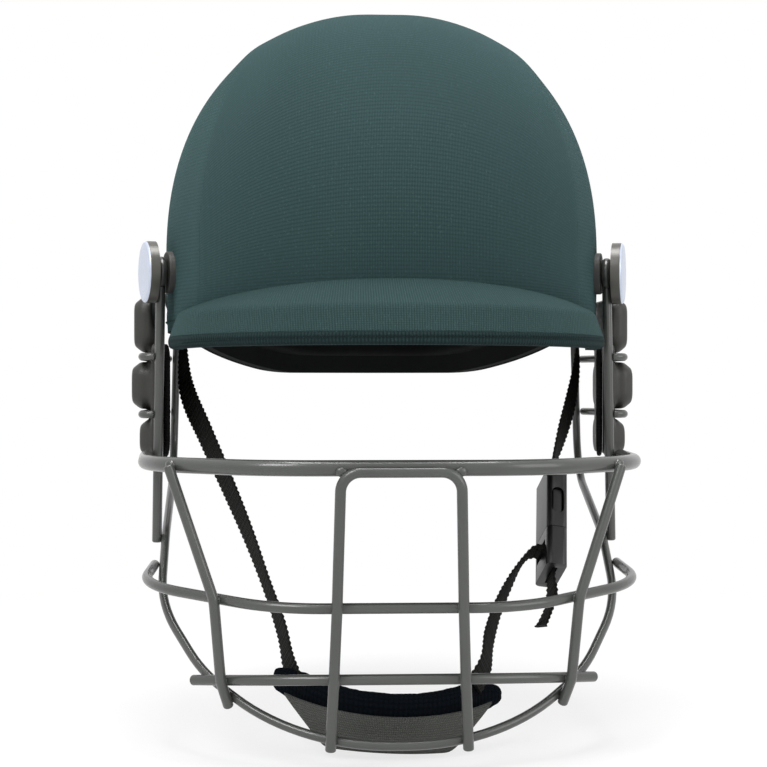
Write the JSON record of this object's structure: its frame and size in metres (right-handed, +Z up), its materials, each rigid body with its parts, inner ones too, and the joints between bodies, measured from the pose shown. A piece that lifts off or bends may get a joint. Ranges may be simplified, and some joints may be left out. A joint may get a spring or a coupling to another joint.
{
  "type": "cricket helmet",
  "caption": "Cloth-covered batting helmet with a fixed peak, a tilting welded wire face guard, moulded ear pads and a chin strap with a cup and a side-release buckle.",
  "frame": {"origin": "where the top of the head touches the underside of the crown pad", "axes": "+Z up, -Y is the way the face looks, +X is the wearer's left, which is the right side of the picture"},
  "size_m": [0.232, 0.2795, 0.3237],
  "materials": {
    "shell_plastic": "moulded, satin",
    "cover_cloth": "ribbed knit",
    "hem_cloth": "ribbed band",
    "liner_foam": "closed-cell foam",
    "pad_cloth": "brushed cloth over foam",
    "boss_plastic": "fine grain",
    "cap_metal": "brushed",
    "fastener_steel": "plain",
    "bush_plastic": "plain",
    "wire_paint": "satin paint",
    "pad_rubber": "moulded, satin",
    "lining_cloth": "brushed cloth",
    "webbing": "ribbed webbing",
    "buckle_plastic": "satin",
    "cup_cloth": "textured cloth",
    "cup_fleece": "fleece"
  },
  "bodies": {
    "helmet": {"shell": "shell_plastic", "shell_cover": "cover_cloth", "peak_insert": "shell_plastic", "peak_cover": "cover_cloth", "peak_hem": "hem_cloth", "foam_liner": "liner_foam", "brow_pad": "pad_cloth", "nape_pad": "pad_cloth", "crown_pad": "pad_cloth", "left_side_pad": "pad_cloth", "right_side_pad": "pad_cloth", "left_pivot_boss": "boss_plastic", "left_pivot_screw": "fastener_steel", "left_pivot_nut": "fastener_steel", "left_pivot_cap": "cap_metal", "right_pivot_boss": "boss_plastic", "right_pivot_screw": "fastener_steel", "right_pivot_nut": "fastener_steel", "right_pivot_cap": "cap_metal", "slide_bushes": "bush_plastic", "slide_washers": "bush_plastic", "slide_screws": "fastener_steel", "slide_nuts": "fastener_steel", "strap_rivets": "fastener_steel"},
    "face_guard": {"perimeter_wire": "wire_paint", "left_upright": "wire_paint", "right_upright": "wire_paint", "top_bar": "wire_paint", "middle_bar": "wire_paint", "lower_bar": "wire_paint", "centre_hoop": "wire_paint", "left_outer_bar": "wire_paint", "right_outer_bar": "wire_paint", "left_upper_hoop": "wire_paint", "left_lower_hoop": "wire_paint", "right_upper_hoop": "wire_paint", "right_lower_hoop": "wire_paint", "left_ear_pad": "pad_rubber", "right_ear_pad": "pad_rubber", "left_ear_lining": "lining_cloth", "right_ear_lining": "lining_cloth"},
    "chin_strap": {"left_strap": "webbing", "right_upper_strap": "webbing", "buckle_socket": "buckle_plastic", "right_lower_strap": "webbing", "chin_cup": "cup_cloth", "chin_cup_lining": "cup_fleece"},
    "buckle_plug": {"buckle_plug": "buckle_plastic", "strap_tail": "webbing"}
  },
  "joints": [
    {"name": "grille_tilt", "type": "hinge", "parent": "helmet", "child": "face_guard", "pos_m": [0, -0.035, -0.09945], "axis": [1, 0, 0], "range_deg": [-6, 0]},
    {"name": "chin_strap_swing", "type": "hinge", "parent": "helmet", "child": "chin_strap", "pos_m": [0, 0.006, -0.11795], "axis": [1, 0, 0], "range_deg": [0, 42]},
    {"name": "buckle_release", "type": "slide", "parent": "chin_strap", "child": "buckle_plug", "axis": [-0.084, -0.5361, -0.8399], "range_m": [0, 0.022], "deforming": ["right_lower_strap"]}
  ]
}
